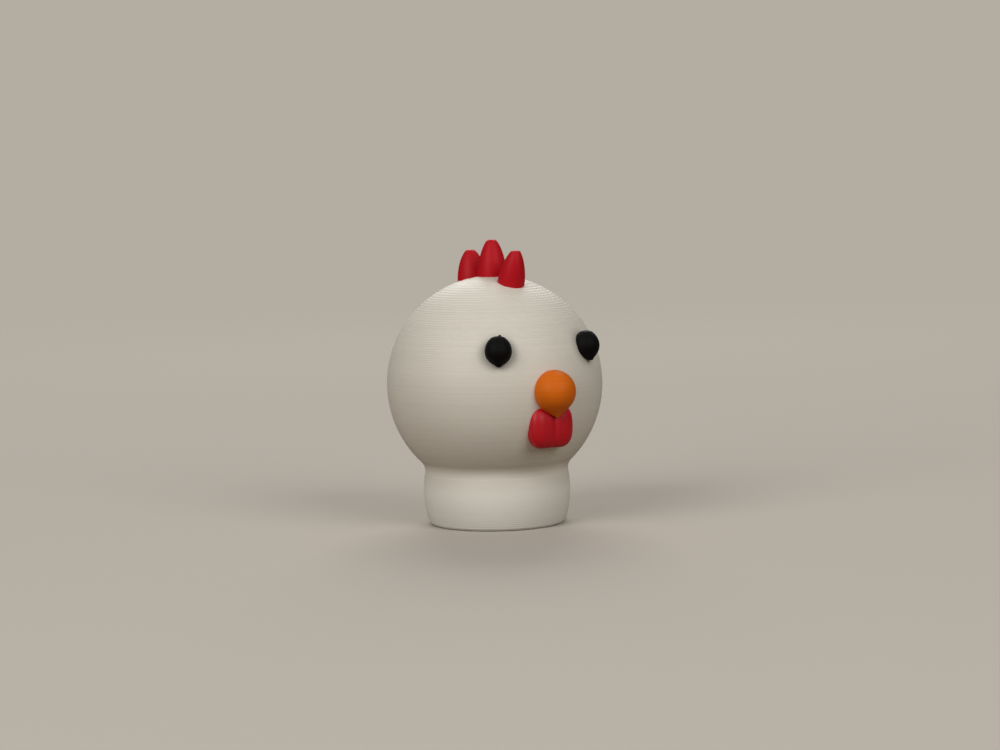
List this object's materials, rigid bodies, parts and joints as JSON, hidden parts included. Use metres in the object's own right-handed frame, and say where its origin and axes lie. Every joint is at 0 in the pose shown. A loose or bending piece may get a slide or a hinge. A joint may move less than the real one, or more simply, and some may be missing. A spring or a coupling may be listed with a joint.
{
  "type": "pencil topper",
  "caption": "Hen's-head pencil topper: a ball head with comb, eyes, beak and wattles over a collar whose blind bore slides onto the plain end of a round pencil.",
  "frame": {"origin": "middle of the flat blind end of the pencil bore, where the end of the pencil stops", "axes": "+Z along the bore and out through the comb, -Y the way the beak points, +X the hen's left side"},
  "size_m": [0.016, 0.0177, 0.0211],
  "materials": {
    "white_filament": "satin, printed in thin layers",
    "red_filament": "satin, printed in thin layers",
    "black_filament": "satin, printed in thin layers",
    "orange_filament": "satin, printed in thin layers"
  },
  "bodies": {
    "root": {"head": "white_filament", "comb_front_lobe": "red_filament", "comb_middle_lobe": "red_filament", "comb_rear_lobe": "red_filament", "left_eye": "black_filament", "right_eye": "black_filament", "beak": "orange_filament", "left_wattle": "red_filament", "right_wattle": "red_filament"}
  },
  "joints": []
}
